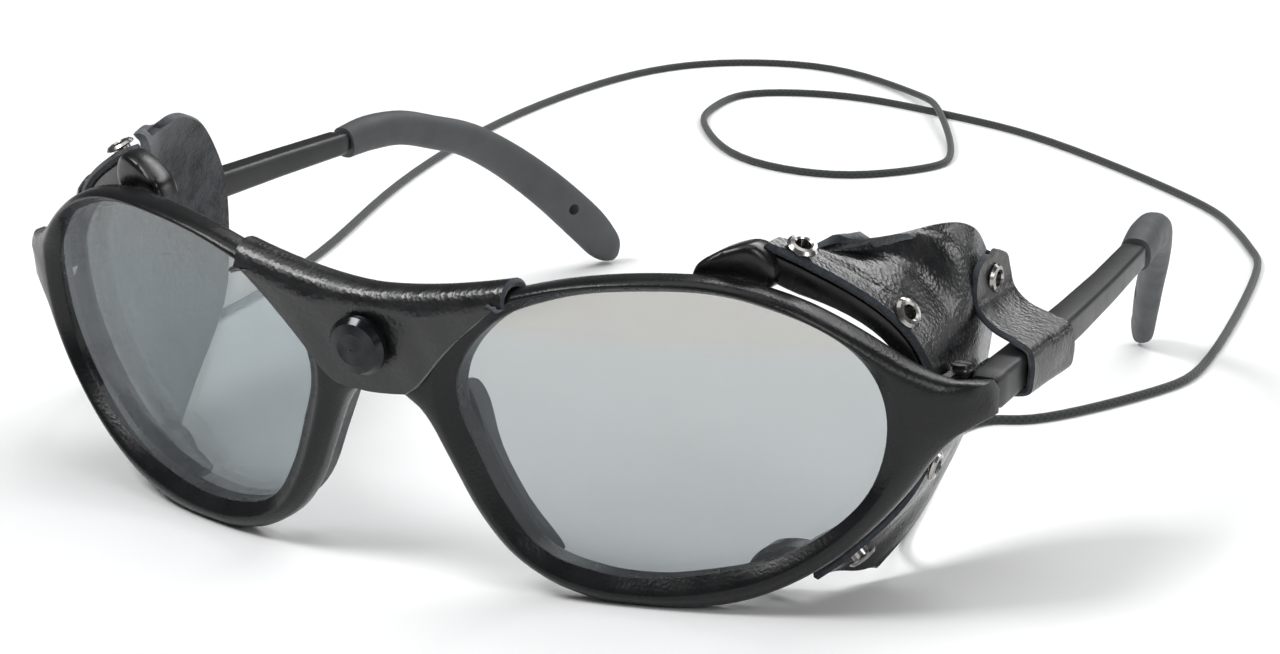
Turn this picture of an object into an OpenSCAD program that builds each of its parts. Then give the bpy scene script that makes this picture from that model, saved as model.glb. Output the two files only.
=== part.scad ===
/* [Front] */
// Distance between the outer faces of the two hinges
front_width = 146.4; // [140:0.2:152]
// Height of the lenses' centre above the rest plane
lens_height = 19; // [18.5:0.1:19.5]
// Distance of each lens centre from the middle
lens_centre = 30.7; // [30:0.1:31.5]
// Radius that the front is curved to, round the face
wrap_radius = 128; // [120:1:140]
// Forward lean of the front, top first
front_tilt = 9.3; // [8:0.1:10.5]
// Depth of the rims from front to back
rim_depth = 4.6; // [4.4:0.1:5]
// How far the rims stand proud of the lenses' edge
rim_proud = 1.4; // [1.2:0.1:1.6]
// Thickness of the lenses
lens_thickness = 2; // [1.8:0.1:2.2]

/* [Temples] */
// Height of the temple bar at the hinge
bar_height = 4.7; // [4.5:0.1:5]
// Radius of the hinge knuckles
knuckle_r = 1.5; // [1.4:0.05:1.6]
// Radius of the hinge screw's shank
screw_r = 0.7; // [0.6:0.05:0.8]
// Radius of the steel core wire
core_r = 0.8; // [0.6:0.1:1]

/* [Leather] */
// Thickness of the shield leather
leather = 1.2; // [1:0.1:1.4]
// Width of the strap along the temple
strap_width = 13; // [11:0.5:14]
// Thickness of the flap over the bridge
flap_thickness = 1.2; // [1:0.1:1.5]
// Radius of the snap cap
cap_r = 4; // [3.8:0.1:4.4]

/* [Cord] */
// Diameter of the retainer cord
cord_d = 1.3; // [1.1:0.1:1.4]

/* [Hidden] */

$fn = 48;

// The glasses are drawn with y counted from the front of the bridge, then moved by this much
front_y = -69.4;
// Height of the rest plane in that drawing: the rims and the tips stand on it
rest_z = -0.3;

// Height at which the leaning front crosses y = 0
lean_z = 25;

// Back of the rims, and front of the flap, both counted from the lens surface
rim_back = rim_depth - rim_proud;
cover_out = rim_proud + flap_thickness;

// Half of the span between the temples' outer faces at the hinge
half_width = front_width / 2;

// Hinge
bar_top = 31.1;
bar_bottom = bar_top - bar_height;
split_y = 27.2;
end_inner = half_width - 5.6;
pin = [half_width - 5.8, 28.6];
knuckle_gap = [27.7, 29.7];
play = 0.05;

// Colours
frame_colour = [0.09, 0.09, 0.10];
leather_colour = [0.05, 0.05, 0.06];
rubber_colour = [0.30, 0.32, 0.33];
metal_colour = [0.75, 0.74, 0.70];
lens_colour = [0.62, 0.66, 0.68, 0.6];

// ---- Curves ----

// One point of a smooth curve through p1 and p2
function smooth_point(p0, p1, p2, p3, t) =
    0.5 * ((2 * p1) + (p2 - p0) * t + (2 * p0 - 5 * p1 + 4 * p2 - p3) * t * t
    + (3 * p1 - p0 - 3 * p2 + p3) * t * t * t);

// A smooth open curve through all the points, with n steps between neighbours
function smooth_open(p, n) = concat(
    [for (i = [0 : len(p) - 2], k = [0 : n - 1])
        smooth_point(p[max(i - 1, 0)], p[i], p[i + 1], p[min(i + 2, len(p) - 1)], k / n)],
    [p[len(p) - 1]]);

function reversed(p) = [for (i = [len(p) - 1 : -1 : 0]) p[i]];
function mirrored(p) = [for (q = reversed(p)) [-q.x, q.y]];
function above_rest(p) = [for (q = p) [q.x, max(q.y, rest_z)]];
function unit(v) = v / norm(v);

// Distance of the front surface behind the bridge, at x and z
function front_depth(x, z) =
    wrap_radius - sqrt(wrap_radius * wrap_radius - x * x) - (z - lean_z) * tan(front_tilt);

// Radius of the lens outline about the lens centre, every 360 / 14 degrees from the temple side
lens_radii = [30.7, 33.9, 29.6, 24.8, 22.9, 22.7, 21.6, 17.4, 16.0, 16.2, 15.4, 15.8, 18.0, 23.6];
function lens_radius(a) =
    let (n = len(lens_radii), u = ((a % 360) + 360) % 360 / 360 * n, i = floor(u))
    smooth_point(lens_radii[(i + n - 1) % n], lens_radii[i % n],
        lens_radii[(i + 1) % n], lens_radii[(i + 2) % n], u - i);
function lens_point(a, grow) =
    [lens_centre, lens_height] + (lens_radius(a) + grow) * [cos(a), sin(a)];

// ---- Shared shapes ----

module place() translate([0, front_y, -rest_z]) children();
module right_side() mirror([1, 0, 0]) children();

// An outline drawn in x and z, pushed through the front along y
module drawn_back(from, to) translate([0, to, 0]) rotate([90, 0, 0])
    linear_extrude(to - from) children();

// The curved and leaning layer that lies between two depths behind the front surface
module front_layer(near, far) translate([0, 0, lean_z]) rotate([front_tilt, 0, 0])
    translate([0, wrap_radius, -60]) difference() {
        cylinder(h = 120, r = wrap_radius - near, $fn = 180);
        translate([0, 0, -1]) cylinder(h = 122, r = wrap_radius - far, $fn = 180);
    }

module lens_outline(grow) polygon([for (a = [0 : 5 : 355]) lens_point(a, grow)]);

// A straight round piece from point p along direction d
module along(p, d) translate(p)
    rotate([0, acos(unit(d).z), atan2(d.y, d.x)]) children();

// One ring of a swept tube, across the direction t, w wide and h high
function ring_points(p, t, w, h, sides) =
    let (side = unit(cross(t, [0, 0, 1])), up = cross(side, t))
    [for (k = [0 : sides - 1]) let (a = 360 * (k + 0.5) / sides)
        p + side * (w / 2) * cos(a) + up * (h / 2) * sin(a)];

// A closed tube swept along the path; sizes holds [width, height] for each of its points
module swept(path, sizes, sides) {
    n = len(path);
    rings = [for (i = [0 : n - 1])
        ring_points(path[i], unit(path[min(i + 1, n - 1)] - path[max(i - 1, 0)]),
            sizes[i].x, sizes[i].y, sides)];
    faces = concat(
        [[for (k = [0 : sides - 1]) k]],
        [for (i = [0 : n - 2], k = [0 : sides - 1]) let (m = (k + 1) % sides)
            [i * sides + k, (i + 1) * sides + k, (i + 1) * sides + m, i * sides + m]],
        [[for (k = [sides - 1 : -1 : 0]) (n - 1) * sides + k]]);
    polyhedron([for (r = rings, p = r) p], faces, convexity = 8);
}

// ---- Front ----

front_top = [
    [0, 38.2], [8, 38.6], [14, 40], [20, 41.9], [27, 43.8], [35, 45], [43, 45.2], [49, 44.2],
    [54.5, 42], [60, 38.4], [65.5, 34], [69.5, 31.8], [half_width, bar_top]
];
front_bottom = [
    [half_width, bar_bottom], [70.2, 24.6], [67.2, 21.2], [64, 16.2], [59.6, 10.8], [55, 6.5],
    [49.4, 2.9], [43.4, 0.6], [36.5, -0.3], [29.5, -0.3], [24.4, 0.7], [20.4, 2.4], [16.1, 5.6],
    [12.4, 10.6], [9.3, 17], [6.3, 23], [3.2, 25.8], [0, 26.6]
];
front_half = concat(smooth_open(front_top, 3), above_rest(smooth_open(front_bottom, 3)));

module front_outline() polygon(concat(front_half, mirrored(front_half)));

// The end piece that turns back from the rim to the hinge
module end_piece() translate([0, 0, bar_bottom]) linear_extrude(bar_height) polygon([
    [end_inner, 21], [65.5, 19.8], [68, 19.5], [70.4, 20.9], [72.2, 22.7],
    [half_width, 25], [half_width, split_y], [end_inner, split_y]
]);

// Room in the end piece for the hinge's knuckles and for its leaf
module hinge_room() {
    translate([pin.x, pin.y, bar_bottom - 1]) cylinder(h = bar_height + 2, r = knuckle_r + 0.2);
    leaf_plate();
}

// Place on the snap's axis, h in front of the frame's front surface
snap_z = 33.6;
snap_dir = [0, -cos(front_tilt), -sin(front_tilt)];
module snap_at(h) along([0, front_depth(0, snap_z), snap_z] + h * snap_dir, snap_dir) children();
module snap_bore() snap_at(-12) cylinder(h = 24, r = 3.3);

module front_frame() color(frame_colour) place() difference() {
    union() {
        intersection() {
            drawn_back(-12, 45) front_outline();
            front_layer(-rim_proud, rim_back);
        }
        end_piece();
        right_side() end_piece();
    }
    for (s = [0, 1]) mirror([s, 0, 0]) {
        drawn_back(-12, 45) lens_outline(0);
        intersection() {
            drawn_back(-12, 45) lens_outline(0.9);
            front_layer(lens_seat - play, lens_seat + lens_thickness + play);
        }
        hinge_room();
        translate([end_inner - 3, split_y, 20]) cube([20, 20, 20]);
        eyelet_room(shield_eyelet_places);
    }
    snap_bore();
}

// Depth of the lens groove behind the front surface
lens_seat = 0.2;

module lens() color(lens_colour) place() intersection() {
    drawn_back(-12, 45) lens_outline(0.8);
    front_layer(lens_seat, lens_seat + lens_thickness);
}

nose_outline = [
    [7.6, 22.6], [10.4, 16.8], [13.4, 10.6], [16.6, 6.6], [19.9, 4.2], [19.7, 5.6],
    [16, 11], [13, 18], [11.9, 24.4], [10.4, 27], [8.2, 26.2]
];
module nose_pad() color([0.2, 0.2, 0.2]) place() intersection() {
    drawn_back(-12, 45) polygon(smooth_open(concat(nose_outline, [nose_outline[0]]), 3));
    front_layer(rim_back, rim_back + 3);
}

// ---- Bridge cover and its snap ----

cover_half = [
    [0, 40.2], [8, 40.5], [14, 41.7], [19.4, 43.4], [20.2, 42.4], [17.6, 39.8], [13.7, 35.4],
    [10.3, 32.1], [7, 28.4], [5, 26.8], [2.5, 25.9], [0, 25.7]
];
module bridge_cover() color(leather_colour) place() difference() {
    intersection() {
        drawn_back(-14, 40) polygon(concat(cover_half, mirrored(cover_half)));
        front_layer(-cover_out, rim_back + leather);
    }
    intersection() {
        drawn_back(-12, 45) front_outline();
        front_layer(-rim_proud - play, rim_back + play);
    }
    snap_bore();
    for (s = [0, 1]) mirror([s, 0, 0]) drawn_back(-12, 45) lens_outline(0);
}

module snap_cap() color([0.12, 0.12, 0.13]) place() snap_at(cover_out + 0.1)
    rotate_extrude() polygon([
        [0, 0], [cap_r - 0.4, 0], [cap_r, 0.6], [cap_r, 1.4], [cap_r - 0.6, 2.2], [2.2, 2.6], [0, 2.7]
    ]);
module snap_socket() color(metal_colour) place() difference() {
    snap_at(cover_out - 3.5) cylinder(h = 3.6, r = 3);
    snap_at(cover_out - 4.5) cylinder(h = 3.4, r = 1.9);
}
module snap_stud() color(metal_colour) place() difference() {
    union() {
        snap_at(cover_out - 4.9) cylinder(h = 1.2, r = 3);
        snap_at(cover_out - 3.7) cylinder(h = 2.3, r = 1.8);
    }
    snap_at(cover_out - 6) cylinder(h = 3.6, r = 1);
}
module snap_post() color(metal_colour) place() {
    snap_at(cover_out - 7.2) cylinder(h = 4.3, r = 0.95);
    snap_at(cover_out - 8) cylinder(h = 0.8, r = 4);
}

// ---- Side shields ----

// The carrier is an arc round the outer half of the lens, seen from the front
arc_top = 66;
arc_bottom = -58;
// Depths of the arc and of its fin and tab
carrier_front = 7.2;
fin_front = 5;
carrier_back = 9.8;

// How far the carrier stands outside the lens outline: least at the hinge, most at its two ends
function carrier_grow(a) = 2 + 3 * min(1, pow((a - 10) / 50, 2));
function carrier_inner(a) = max(0.2, carrier_grow(a) - 3.6);

module carrier_arc(from, to) polygon(concat(
    [for (a = [from : 4 : to]) lens_point(a, carrier_grow(a))],
    [for (a = [to : -4 : from]) lens_point(a, carrier_inner(a))]));

module fin() polygon([[40.5, 43.5], [40.5, 46.2], [44, 47.8], [47.2, 48.6], [48.6, 47.2], [48.6, 43]]);
module lower_tab() polygon([[45, 1.8], [43.8, 4.6], [45.6, 6.8], [48, 7.3], [50.6, 7], [52, 5.4], [49, 3.4]]);

module shield_carrier() color(frame_colour) place() difference() {
    union() {
        intersection() {
            drawn_back(-5, 50) carrier_arc(arc_bottom, arc_top);
            front_layer(carrier_front, carrier_back);
        }
        intersection() {
            drawn_back(-5, 50) {
                fin();
                lower_tab();
            }
            front_layer(fin_front, carrier_back);
        }
        intersection() {
            drawn_back(-5, 50) carrier_arc(2, 22);
            front_layer(rim_back, carrier_back);
        }
    }
    hinge_room();
    eyelet_room(shield_eyelet_places);
}

// Rear edge of the leather, from the top lobe down to the tab, as x, y and z
shield_rear = [
    [54.6, 25, 45], [58.6, 37, 45], [60, 46.5, 42], [60.2, 52.4, 34], [59.6, 52, 25],
    [58.4, 48.6, 16.2], [57, 38.5, 7.6], [55.2, 30.5, 3]
];
shield_steps = 28;
shield_cols = 7;
shield_top = 55;
shield_bottom = -38;

// Front edge of the leather at share s of the way down: it lies on the carrier's outer edge
function shield_front(s) =
    let (a = shield_top + (shield_bottom - shield_top) * s,
        q = lens_point(a, carrier_grow(a) + 0.15))
    [q.x, front_depth(q.x, q.y) + 7.3, max(q.y, 0.4)];

// A point of the leather at share s down and column j back, w outside its inner face;
// the first strip runs straight back over the carrier
function shield_point(s, j, w) =
    let (rear = smooth_open(shield_rear, 4), a = shield_front(s),
        b = rear[round(s * (len(rear) - 1))], out = unit([a.x - 38, 0, a.z - 22]),
        t = max(0, j - 1) / (shield_cols - 2), bulge = 0.8 * sin(180 * t) * sin(180 * s),
        near = j == 0 ? a : a + [0, 2.7, 0])
    near + (b - near) * t + out * (w + bulge);

module shield_sheet() {
    rows = shield_steps + 1;
    cols = shield_cols;
    pts = [for (w = [0, leather], i = [0 : shield_steps], j = [0 : cols - 1])
        shield_point(i / shield_steps, j, w)];
    function at(layer, i, j) = layer * rows * cols + i * cols + j;
    skins = [for (i = [0 : rows - 2], j = [0 : cols - 2])
        each [[at(0, i, j), at(0, i + 1, j), at(0, i + 1, j + 1)],
            [at(0, i, j), at(0, i + 1, j + 1), at(0, i, j + 1)],
            [at(1, i, j), at(1, i + 1, j + 1), at(1, i + 1, j)],
            [at(1, i, j), at(1, i, j + 1), at(1, i + 1, j + 1)]]];
    ends = [for (j = [0 : cols - 2])
        each [[at(0, 0, j), at(0, 0, j + 1), at(1, 0, j + 1), at(1, 0, j)],
            [at(0, rows - 1, j + 1), at(0, rows - 1, j), at(1, rows - 1, j), at(1, rows - 1, j + 1)]]];
    sides = [for (i = [0 : rows - 2])
        each [[at(0, i + 1, 0), at(0, i, 0), at(1, i, 0), at(1, i + 1, 0)],
            [at(0, i, cols - 1), at(0, i + 1, cols - 1), at(1, i + 1, cols - 1), at(1, i, cols - 1)]]];
    polyhedron(pts, concat(skins, ends, sides), convexity = 6);
}

// Eyelets that hold the leather to the carrier: centre on the outer face, and outward direction
shield_eyelet_places = [
    [[51.4, 15.9, 47.6], [0.4, -0.2, 0.9]],
    [[62.6, 22.6, 39], [0.8, -0.2, 0.5]],
    [[64.8, 26.6, 18.4], [0.95, 0.1, -0.25]],
    [[56, 24.6, 5.4], [0.65, 0.1, -0.75]]
];
// Eyelets that hold the strap to the leather, above and below the temple
strap_eyelet_places = [
    [[64.2, 45.6, 37.8], [1, 0, 0]],
    [[64.2, 46.8, 22], [1, 0, 0]]
];

// Bore for each eyelet, with a seat for its flange
module eyelet_room(places) for (e = places) {
    along(e[0] - 6 * unit(e[1]), e[1]) cylinder(h = 7, r = 1.35);
    along(e[0], e[1]) cylinder(h = 4, r = 2.2);
}

module eyelet(e) along(e[0], e[1]) rotate_extrude() polygon([
    [1, -1.5], [1.25, -1.5], [1.25, 0.05], [2, 0.05], [2.05, 0.25], [1.7, 0.6], [1.25, 0.7], [1, 0.5]
]);

module side_shield() color(leather_colour) place() difference() {
    shield_sheet();
    eyelet_room(shield_eyelet_places);
    eyelet_room(strap_eyelet_places);
    translate([pin.x, pin.y, bar_bottom - 1]) cylinder(h = bar_height + 2, r = knuckle_r + 0.4);
    translate([pin.x - 1.3, pin.y - 3, bar_bottom - 0.5]) cube([6, 12, bar_height + 1]);
}
module shield_eyelets() color(metal_colour) place() for (e = shield_eyelet_places) eyelet(e);

// ---- Hinges ----

module leaf_plate() translate([pin.x - 1, 23, bar_bottom + 0.2])
    cube([1.2, pin.y - 23, bar_height - 0.4]);

module hinge_leaf() color(metal_colour) place() difference() {
    union() {
        leaf_plate();
        translate([pin.x, pin.y, bar_bottom + 0.2]) cylinder(h = bar_height - 0.4, r = knuckle_r);
    }
    translate([pin.x - 5, pin.y - knuckle_r - 0.2, knuckle_gap[0]])
        cube([10, 10, knuckle_gap[1] - knuckle_gap[0]]);
    translate([pin.x, pin.y, knuckle_gap[0] - 0.1]) cylinder(h = 8, r = screw_r + play);
    translate([pin.x, pin.y, 20]) cylinder(h = 8, r = screw_r);
}

module hinge_screw() color(metal_colour) place() translate([pin.x, pin.y, 0]) difference() {
    union() {
        translate([0, 0, bar_bottom + 0.3]) cylinder(h = bar_height - 0.5, r = screw_r);
        translate([0, 0, bar_top - 0.2]) cylinder(h = 0.7, r = 1.2);
    }
    translate([-2, -0.15, bar_top + 0.2]) cube([4, 0.3, 1]);
}

knuckle_play = 0.1;
module leaf_body() {
    translate([pin.x, pin.y, knuckle_gap[0] + knuckle_play])
        cylinder(h = knuckle_gap[1] - knuckle_gap[0] - 2 * knuckle_play, r = knuckle_r);
    translate([pin.x, pin.y, knuckle_gap[0] + knuckle_play])
        cube([1.4, 2.4, knuckle_gap[1] - knuckle_gap[0] - 2 * knuckle_play]);
    translate([pin.x + 0.2, pin.y + 1.9, bar_bottom + 0.9]) cube([1.2, 5.9, bar_height - 1.8]);
}
module temple_leaf() color(metal_colour) place() difference() {
    leaf_body();
    translate([pin.x, pin.y, 20]) cylinder(h = 20, r = screw_r + play);
    rivet_holes();
}
rivet_places = [4, 6.4];
module rivet_holes() for (y = rivet_places)
    along([pin.x - 1, pin.y + y, bar_bottom + bar_height / 2], [1, 0, 0]) cylinder(h = 4.4, r = 0.6);
module leaf_rivets() color(metal_colour) place() for (y = rivet_places)
    along([pin.x - 0.2, pin.y + y, bar_bottom + bar_height / 2], [1, 0, 0]) {
        cylinder(h = 3.6, r = 0.58);
        cylinder(h = 0.4, r = 0.95);
    }

// ---- Temples ----

bar_end = 91.5;
// Outer and inner faces of the bar, seen from above
bar_outer = [[half_width, split_y + 0.15], [72.4, 45], [71.2, 60], [69.6, 75], [67.5, bar_end]];
bar_inner = [[63.8, bar_end], [65.8, 75], [67.1, 60], [68, 45], [68.6, split_y + 0.15]];
// Top and bottom of the bar, seen from the side
bar_upper = [[split_y, bar_top], [60, 31.4], [bar_end, 31.5]];
bar_lower = [[bar_end, 28.2], [60, 27.4], [40, 26.9], [split_y, bar_bottom]];

function widened(p, outer, grow) = [for (q = p) [q.x + (outer ? grow : -grow), q.y]];
function raised(p, upper, grow) = [for (q = p) [q.x, q.y + (upper ? grow : -grow)]];

module bar_shape(grow) intersection() {
    linear_extrude(60) polygon(concat(
        smooth_open(widened(bar_outer, true, grow), 3), smooth_open(widened(bar_inner, false, grow), 3)));
    rotate([90, 0, 90]) linear_extrude(120)
        polygon(concat(raised(bar_upper, true, grow), raised(bar_lower, false, grow)));
}

module temple_bar() color(frame_colour) place() difference() {
    bar_shape(0);
    translate([pin.x, pin.y, 20]) cylinder(h = 20, r = knuckle_r + 0.25);
    leaf_body();
    rivet_holes();
}

// Centre line of the rubber tip, as x, y and z, and its width and height along it
tip_path = [
    [65.6, bar_end + 0.1, 29.6], [64.6, 97, 30.1], [63.2, 104, 29.6], [61.2, 111, 27.5],
    [59, 117.8, 25], [56.2, 125, 20.4], [52.8, 132.2, 14.2], [49.6, 138.8, 7.4], [48.2, 141.8, 3.8]
];
tip_sizes = [
    [4.7, 5.3], [4.7, 5.4], [4.6, 5.4], [4.4, 5.4], [4.2, 5.6], [4, 6], [3.9, 6.5], [3.8, 6.8], [3.6, 6.2]
];
// The tip's rounded end
tip_end = [[47.3, 143.2, 1.75], [46.9, 144.4, 0.5]];
tip_end_sizes = [[3, 4.8], [1.6, 2.2]];
tip_steps = 3;

module tip_sweep() swept(concat(smooth_open(tip_path, tip_steps), tip_end),
    concat(smooth_open(tip_sizes, tip_steps), tip_end_sizes), 14);

module core_wire() color(metal_colour) place() {
    wire = smooth_open(concat([[66.9, 80, 29.3]], [for (i = [0 : len(tip_path) - 3]) tip_path[i]]), 3);
    swept(wire, [for (p = wire) [2 * core_r, 2 * core_r]], 8);
}
module temple_tip() color(rubber_colour) place() difference() {
    tip_sweep();
    along([40, 135, 10.6], [1, 0, 0]) cylinder(h = 20, r = 0.9);
}

strap_y = 36.5;
strap_wall = 1;
module strap() color(leather_colour) place() difference() {
    union() {
        intersection() {
            bar_shape(play + strap_wall);
            translate([55, strap_y, 10]) cube([25, strap_width, 30]);
        }
        tongue();
    }
    bar_shape(play);
    eyelet_room(strap_eyelet_places);
}

// The tongue rises from the loop to the upper eyelet and falls to the lower one
module tongue() for (e = [[39.6, 31], [20.2, 26.4]]) hull() {
    translate([66.2, strap_y, e[1]]) cube([0.9, strap_width, 0.8]);
    translate([63.3, strap_y + 4.5, e[0]]) cube([0.85, strap_width - 5, 0.8]);
}

module strap_eyelets() color(metal_colour) place() for (e = strap_eyelet_places) eyelet(e);

// ---- Cord ----

// Route of the cord on the rest plane, from the left eyelet round to the right one
cord_lie = rest_z + cord_d / 2 + 0.05;
cord_route = [
    [64.8, 26.6, 18.4], [62.2, 26.3, 19.1], [60.2, 26.4, 19.4], [58.8, 27.8, 17], [57.2, 30.8, 11.5],
    [55.2, 34.4, 5.8], [53.6, 39.4, cord_lie + 1.9], [51.7, 46, cord_lie + 0.3], [48.5, 59, cord_lie],
    [44, 74, cord_lie], [40, 86, cord_lie], [42, 96, cord_lie], [49, 100, cord_lie],
    [59, 121, cord_lie], [60.5, 137.5, cord_lie], [50.5, 187.5, cord_lie], [44.5, 200.5, cord_lie],
    [37.5, 211.5, cord_lie], [25.5, 225.5, cord_lie], [-14.5, 253.5, cord_lie],
    [-39, 262.5, cord_lie], [-63, 267.5, cord_lie], [-81, 260.5, cord_lie], [-82, 247, cord_lie],
    [-77.5, 233.5, cord_lie], [-59.5, 213.5, cord_lie], [-38.5, 210.5, cord_lie],
    [-26, 223.5, cord_lie], [-26, 235, cord_lie + 0.1], [-40, 259.5, cord_lie + 1.7],
    [-51, 273.5, cord_lie + 0.4], [-76.5, 288, cord_lie], [-99, 281, cord_lie],
    [-110.5, 259.5, cord_lie], [-112.5, 216, cord_lie], [-104.5, 167, cord_lie],
    [-91.5, 123, cord_lie], [-85.5, 86, cord_lie], [-86.5, 70, cord_lie], [-84.5, 57, cord_lie + 0.4],
    [-80, 44, 3.8], [-72.4, 31, 13], [-68.2, 27.4, 17.4], [-66, 26.7, 18]
];
module cord() color([0.2, 0.24, 0.22]) place() {
    path = smooth_open(cord_route, 2);
    swept(path, [for (p = path) [cord_d, cord_d]], 8);
}
module cord_knots() color([0.2, 0.24, 0.22]) place() {
    for (x = [-1, 1]) translate([x * 64.8, 26.6, 18.4]) sphere(r = 0.95);
}

// ---- Assembly ----

front_frame();
lens();  // lens_left
right_side() lens();  // lens_right
nose_pad();  // nose_pad_left
right_side() nose_pad();  // nose_pad_right
bridge_cover();
snap_cap();
snap_socket();
snap_stud();
snap_post();
shield_carrier();  // shield_carrier_left
right_side() shield_carrier();  // shield_carrier_right
side_shield();  // side_shield_left
right_side() side_shield();  // side_shield_right
shield_eyelets();  // shield_eyelets_left
right_side() shield_eyelets();  // shield_eyelets_right
hinge_leaf();  // hinge_leaf_left
right_side() hinge_leaf();  // hinge_leaf_right
hinge_screw();  // hinge_screw_left
right_side() hinge_screw();  // hinge_screw_right
cord();
cord_knots();
temple_bar();  // temple_bar_left
right_side() temple_bar();  // temple_bar_right
temple_leaf();  // temple_leaf_left
right_side() temple_leaf();  // temple_leaf_right
leaf_rivets();  // leaf_rivets_left
right_side() leaf_rivets();  // leaf_rivets_right
core_wire();  // core_wire_left
right_side() core_wire();  // core_wire_right
temple_tip();  // temple_tip_left
right_side() temple_tip();  // temple_tip_right
strap();  // strap_left
right_side() strap();  // strap_right
strap_eyelets();  // strap_eyelets_left
right_side() strap_eyelets();  // strap_eyelets_right
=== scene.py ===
import math

import bmesh
import bpy
from bpy.props import FloatProperty, FloatVectorProperty
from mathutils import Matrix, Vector


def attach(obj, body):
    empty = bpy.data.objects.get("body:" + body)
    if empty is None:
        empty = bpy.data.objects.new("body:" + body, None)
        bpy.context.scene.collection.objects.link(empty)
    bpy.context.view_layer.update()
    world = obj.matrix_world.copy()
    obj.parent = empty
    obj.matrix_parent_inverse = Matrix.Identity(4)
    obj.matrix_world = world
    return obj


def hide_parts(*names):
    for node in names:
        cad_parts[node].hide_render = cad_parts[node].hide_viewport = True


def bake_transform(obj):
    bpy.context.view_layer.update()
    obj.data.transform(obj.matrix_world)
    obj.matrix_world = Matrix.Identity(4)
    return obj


bl_info = {
    "name": "Glacier glasses",
    "version": (1, 0, 0),
    "blender": (4, 5, 0),
    "location": "View3D > Sidebar > Glasses",
    "description": "Builds the finished look of a pair of glacier glasses round their frame",
    "category": "Add Mesh",
}

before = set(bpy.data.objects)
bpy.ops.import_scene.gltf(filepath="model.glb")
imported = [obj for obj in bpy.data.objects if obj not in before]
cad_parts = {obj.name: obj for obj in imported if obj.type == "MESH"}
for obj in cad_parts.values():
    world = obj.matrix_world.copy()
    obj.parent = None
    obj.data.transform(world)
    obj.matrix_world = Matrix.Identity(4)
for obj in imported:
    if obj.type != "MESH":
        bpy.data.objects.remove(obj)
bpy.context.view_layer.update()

# The glasses are drawn in mm, y from the front of the bridge, and then moved by this much
FRONT_Y = -69.4
REST_Z = -0.3

WRAP_RADIUS = 128
TILT = math.tan(math.radians(9.3))
TILT_PIVOT = 25
LENS_CENTRE = 30.7
LENS_HEIGHT = 19
# Radii of the left lens at even steps of angle, from its outer side and up
LENS_RADII = [30.7, 33.9, 29.6, 24.8, 22.9, 22.7, 21.6, 17.4, 16.0, 16.2, 15.4, 15.8, 18.0, 23.6]
# Where the end piece stops and the temple begins
SPLIT_Y = 27.2
SIDES = (("left", 1), ("right", -1))


def at(x, y, z):
    """A point of the drawing, in metres and in its place in the frame."""
    return Vector((x, y + FRONT_Y, z - REST_Z)) / 1000


def depth(x, z):
    """How far the curved, leaning front lies behind the bridge at x and z."""
    return WRAP_RADIUS - math.sqrt(WRAP_RADIUS**2 - x * x) - (z - TILT_PIVOT) * TILT


def mix(a, b, t):
    return a + (b - a) * t


def ease(t):
    """A soft step from 0 to 1, held at both ends."""
    t = min(1, max(0, t))
    return t * t * (3 - 2 * t)


def bell(x, middle, spread):
    """1 at the middle, falling smoothly to nothing on both sides."""
    return math.exp(-(((x - middle) / spread) ** 2))


def smooth_point(p0, p1, p2, p3, t):
    """The point at share t between p1 and p2, with p0 and p3 as their neighbours."""
    return 0.5 * (2 * p1 + (p2 - p0) * t + (2 * p0 - 5 * p1 + 4 * p2 - p3) * t * t
                  + (3 * p1 - p0 - 3 * p2 + p3) * t**3)


def smooth(points, steps):
    """A smooth curve through all the points."""
    p = [Vector(q) for q in points]
    last = len(p) - 1
    out = [smooth_point(p[max(i - 1, 0)], p[i], p[i + 1], p[min(i + 2, last)], k / steps)
           for i in range(last) for k in range(steps)]
    return out + [p[last]]


def along(curve, s):
    """The point at share s of a list of points."""
    u = min(max(s, 0), 1) * (len(curve) - 1)
    i = min(int(u), len(curve) - 2)
    return curve[i].lerp(curve[i + 1], u - i)


def lens_radius(angle):
    """Radius of the lens in that direction, in degrees from its outer side."""
    n = len(LENS_RADII)
    u = (angle % 360) / 360 * n
    i = int(u)
    r = LENS_RADII
    return smooth_point(r[(i - 1) % n], r[i % n], r[(i + 1) % n], r[(i + 2) % n], u - i)


def lens_point(angle, grow):
    """x and z of a point on the lens edge, moved outwards by this much."""
    a = math.radians(angle)
    r = lens_radius(angle) + grow
    return LENS_CENTRE + r * math.cos(a), LENS_HEIGHT + r * math.sin(a)


# ---- Meshes ----


MERGE_DISTANCE = 2e-6
# How far a cut edge of leather bulges, as a share of the thickness
EDGE_BULGE = 0.28


def add_mesh(name, verts, faces):
    """A linked object with these points, in metres."""
    mesh = bpy.data.meshes.new(name)
    mesh.from_pydata([tuple(v) for v in verts], [], faces)
    obj = bpy.data.objects.new(name, mesh)
    bpy.context.collection.objects.link(obj)
    return obj


def face_outwards(obj, merge=False):
    bm = bmesh.new()
    bm.from_mesh(obj.data)
    if merge:
        bmesh.ops.remove_doubles(bm, verts=bm.verts, dist=MERGE_DISTANCE)
    bmesh.ops.recalc_face_normals(bm, faces=bm.faces)
    bm.to_mesh(obj.data)
    bm.free()


def new_piece(name, verts, faces, mat, smooth_angle=40):
    """A piece that is joined up, faces outwards and is shaded smooth up to an angle."""
    obj = add_mesh(name, verts, faces)
    face_outwards(obj, merge=True)
    obj.data.materials.append(mat)
    finish_shading(obj, smooth_angle)
    return obj


def only(obj):
    """Selects one object and makes it the active one."""
    bpy.ops.object.select_all(action="DESELECT")
    obj.select_set(True)
    bpy.context.view_layer.objects.active = obj


def finish_shading(obj, angle):
    only(obj)
    bpy.ops.object.shade_smooth_by_angle(angle=math.radians(angle))
    obj.select_set(False)


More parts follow.
